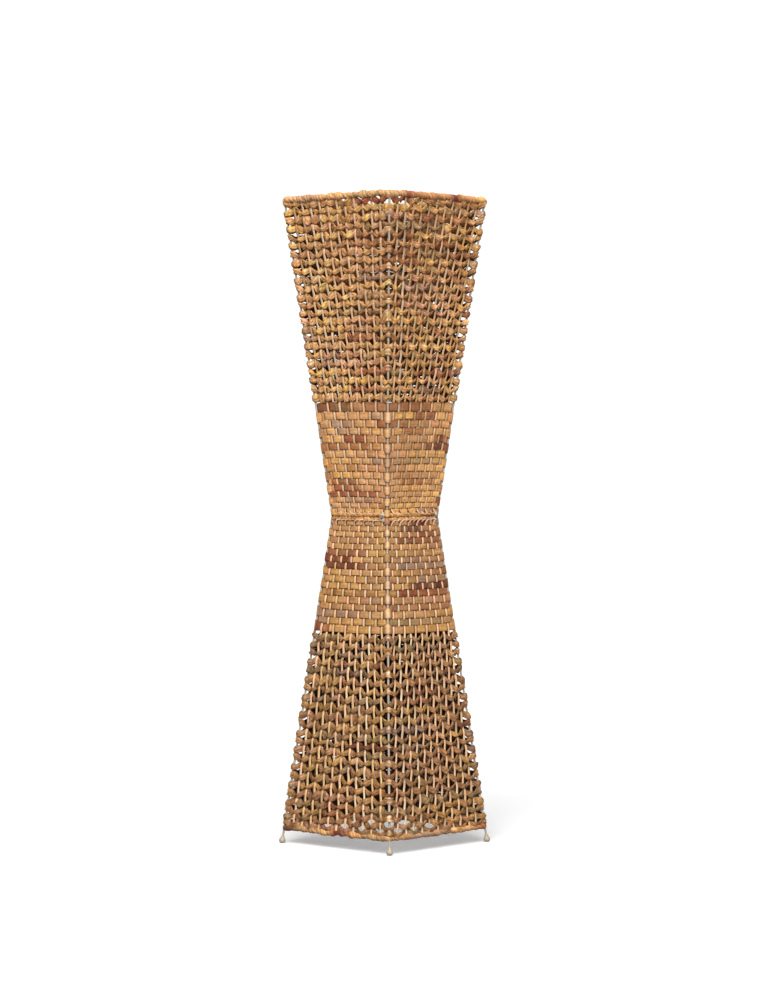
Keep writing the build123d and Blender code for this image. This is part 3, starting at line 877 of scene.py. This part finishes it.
FLOOR_HALF = 40.0
GLOW = 0.13                      # light from the surround on the object
SURROUND = 1.1                   # brightness of the surround as seen
CAMERA_AZIMUTH = 42.3            # degrees
CAMERA_DISTANCE = 6.0
CAMERA_HEIGHT = 0.757
CAMERA_ASIDE = 4.3 * MM
CAMERA_DOWN = 1.136              # degrees below level
LENS, SENSOR = 116.2, 36         # millimetres


def stage_floor():
    """A plain pale floor, lightly lit from within to soften its shadows."""
    mesh = bpy.data.meshes.new("floor")
    corners = [(x * FLOOR_HALF, y * FLOOR_HALF, 0) for x, y in ((-1, -1), (1, -1), (1, 1), (-1, 1))]
    mesh.from_pydata(corners, [], [(0, 1, 2, 3)])
    floor = bpy.data.objects.new("floor", mesh)
    bpy.context.scene.collection.objects.link(floor)
    n = Nodes("pale_floor")
    n.set(Base_Color=(0.95, 0.95, 0.95, 1), Roughness=0.9)
    n.set(Emission_Color=(1, 1, 1, 1), Emission_Strength=0.22)
    n.shader.inputs["Specular IOR Level"].default_value = 0.1
    mesh.materials.append(n.material)
    floor.visible_diffuse = False


def soft_sun(name, azimuth, elevation, strength, spread):
    """A broad even light. Azimuth and elevation say where it stands, as for the camera, in degrees."""
    light = bpy.data.lights.new(name, "SUN")
    light.energy, light.angle = strength, math.radians(spread)
    lamp = bpy.data.objects.new(name, light)
    bpy.context.scene.collection.objects.link(lamp)
    lamp.rotation_euler = (math.radians(90 - elevation), 0, math.radians(azimuth))


def studio():
    """White surround, a large soft light left of the camera, a weaker one on its right and one from above."""
    world = bpy.data.worlds.new("studio")
    bpy.context.scene.world = world
    world.use_nodes = True
    tree = world.node_tree
    glow = tree.nodes["Background"]
    glow.inputs[0].default_value = (1, 1, 1, 1)
    glow.inputs[1].default_value = GLOW
    white = tree.nodes.new("ShaderNodeBackground")
    white.inputs[0].default_value = (1, 1, 1, 1)
    white.inputs[1].default_value = SURROUND
    seen = tree.nodes.new("ShaderNodeLightPath")
    either = tree.nodes.new("ShaderNodeMixShader")
    tree.links.new(seen.outputs["Is Camera Ray"], either.inputs[0])
    tree.links.new(glow.outputs[0], either.inputs[1])
    tree.links.new(white.outputs[0], either.inputs[2])
    tree.links.new(either.outputs[0], tree.nodes["World Output"].inputs["Surface"])
    soft_sun("key", azimuth=32, elevation=40, strength=2.8, spread=42)
    soft_sun("fill", azimuth=62, elevation=22, strength=1.42, spread=60)
    soft_sun("top", azimuth=30, elevation=70, strength=0.6, spread=50)
    bpy.context.scene.view_settings.view_transform = "Standard"


def camera():
    data = bpy.data.cameras.new("camera")
    cam = bpy.data.objects.new("camera", data)
    bpy.context.scene.collection.objects.link(cam)
    azimuth = math.radians(CAMERA_AZIMUTH)
    data.lens, data.sensor_width = LENS, SENSOR
    cam.location = (math.sin(azimuth) * CAMERA_DISTANCE + math.cos(azimuth) * CAMERA_ASIDE,
                    -math.cos(azimuth) * CAMERA_DISTANCE + math.sin(azimuth) * CAMERA_ASIDE, CAMERA_HEIGHT)
    cam.rotation_euler = (math.radians(90 - CAMERA_DOWN), 0, azimuth)
    bpy.context.scene.camera = cam


# ---------------------------------------------------------------- build

leaf = leaf_material("plaited_leaf", streak=26.0, blotch=22.0, contrast=0.30, bump=0.5 * MM)
wound_leaf = leaf_material("wound_leaf", streak=34.0, blotch=40.0, contrast=0.28, bump=0.4 * MM)
stick = leaf_material("split_stick", streak=14.0, blotch=9.0, contrast=0.14, bump=0.25 * MM)
twine = twine_material()

# Heights of the close rows in mm, from the waist outward
UPPER_HEIGHTS = [9.0, 9.3, 9.9, 9.6, 11.2, 10.2, 12.0, 12.8, 10.9, 13.2, 12.2, 13.6, 12.1, 13.4, 13.9, 16.8]
LOWER_HEIGHTS = [9.4, 10.6, 10.2, 11.6, 10.4, 12.4, 11.0, 12.3, 11.2, 13.0, 11.4, 12.6, 13.2, 11.7, 13.8,
                 12.6, 14.2]
DARK = (104, 62, 50)

# Leaves of a colour of their own in the close rows, by row from the waist
UPPER_PATCHES = {
    2: [(40, 45, GREY_TAN)],
    5: [(37, 41, BROWN), (3, 8, BROWN)],
    10: [(7.5, 12.6, MAROON)],
    11: [(9, 13, (122, 66, 52))],
    13: [(38, 42, GREY_TAN)],
    14: [(5, 9, (150, 100, 72))],
    15: [(36, 39.5, (130, 84, 58)), (16, 21, DARK)],
}
LOWER_PATCHES = {
    0: [(5.5, 10, MAROON), (47, 49, (158, 112, 92))],
    1: [(3, 8, (134, 92, 74))],
    6: [(36, 41, (128, 72, 52))],
    7: [(36.5, 43, (120, 66, 48))],
    10: [(4, 12, DARK)],
    11: [(37, 39, BROWN)],
    16: [(36, 38.5, RED_BROWN)],
}
RIM_PATCHES = [(7.4, 8.5, (118, 62, 50)), (1.5, 2.6, (140, 84, 66))]
HEM_PATCHES = [(41.6, 44.0, (112, 60, 44)), (36, 37.6, (104, 76, 50))]

close_rows(upper, UPPER_HEIGHTS, seed=100, mix=CLOSE_MIX, patches=UPPER_PATCHES)
open_rows(upper, count=24, seed=200, mix=OPEN_MIX, edge_pitch=0.88)
close_rows(lower, LOWER_HEIGHTS, seed=300, mix=CLOSE_MIX, patches=LOWER_PATCHES)
open_rows(lower, count=23, seed=400, mix=LOWER_MIX, edge_pitch=0.78)
for face in range(4):
    face_stakes(upper, face)
    face_stakes(lower, face)

wound_rail("rim", upper.end_z, upper.end_half, radius=6.6 * MM, spacing=8.5 * MM, step=0.9 * MM,
           seed=31, mix=RIM_MIX, patches=RIM_PATCHES, bright=1.36)
wound_rail("hem", lower.end_z, lower.end_half, radius=5.7 * MM, spacing=9.0 * MM, step=0.9 * MM,
           seed=32, mix=LOWER_MIX, patches=HEM_PATCHES)
wound_rail("upper_waist", upper.waist_z, upper.waist_half, radius=4.2 * MM, spacing=6.0 * MM,
           step=0.7 * MM, seed=33, mix=OPEN_MIX)
wound_rail("lower_waist", lower.waist_z, lower.waist_half, radius=4.2 * MM, spacing=6.0 * MM,
           step=0.7 * MM, seed=34, mix=CLOSE_MIX)
for corner in range(4):
    waist_tie(corner)

paint_solids()
stage_floor()
studio()
camera()
